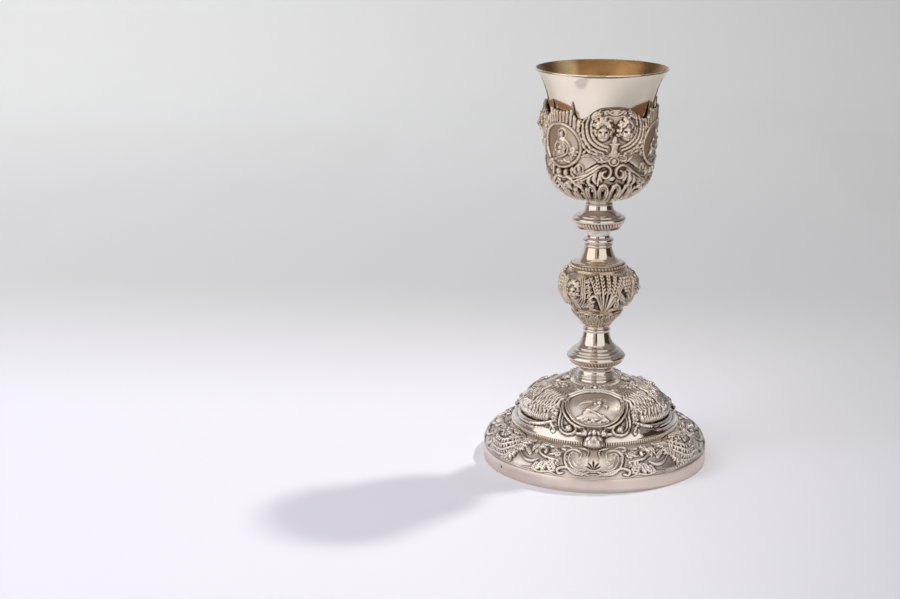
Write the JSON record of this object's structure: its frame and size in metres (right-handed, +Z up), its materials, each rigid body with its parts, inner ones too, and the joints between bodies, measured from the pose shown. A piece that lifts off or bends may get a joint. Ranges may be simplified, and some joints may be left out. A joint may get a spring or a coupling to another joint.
{
  "type": "chalice",
  "caption": "Silver altar chalice: gilt-lined flared cup in a chased calyx, knopped stem with a pear-shaped node, and a domed chased foot on a broad flange.",
  "frame": {"origin": "centre of the foot's underside, on the table", "axes": "+Z up along the stem, -Y to the front with the middle cartouche of the foot, +X to the object's left"},
  "size_m": [0.155, 0.155, 0.2731],
  "materials": {
    "satin_silver": "satin silver with oxidised recesses",
    "chased_silver": "chased silver, brown oxide left in the recesses",
    "polished_silver": "polished turned silver",
    "gilt_silver": "polished silver outside, worn gilding inside"
  },
  "bodies": {
    "root": {"foot_base": "satin_silver", "foot_dome": "chased_silver", "lower_knop": "polished_silver", "node_cup": "chased_silver", "node_bulb": "chased_silver", "collar": "polished_silver", "upper_knop": "polished_silver", "calyx": "chased_silver", "cup": "gilt_silver"}
  },
  "joints": []
}
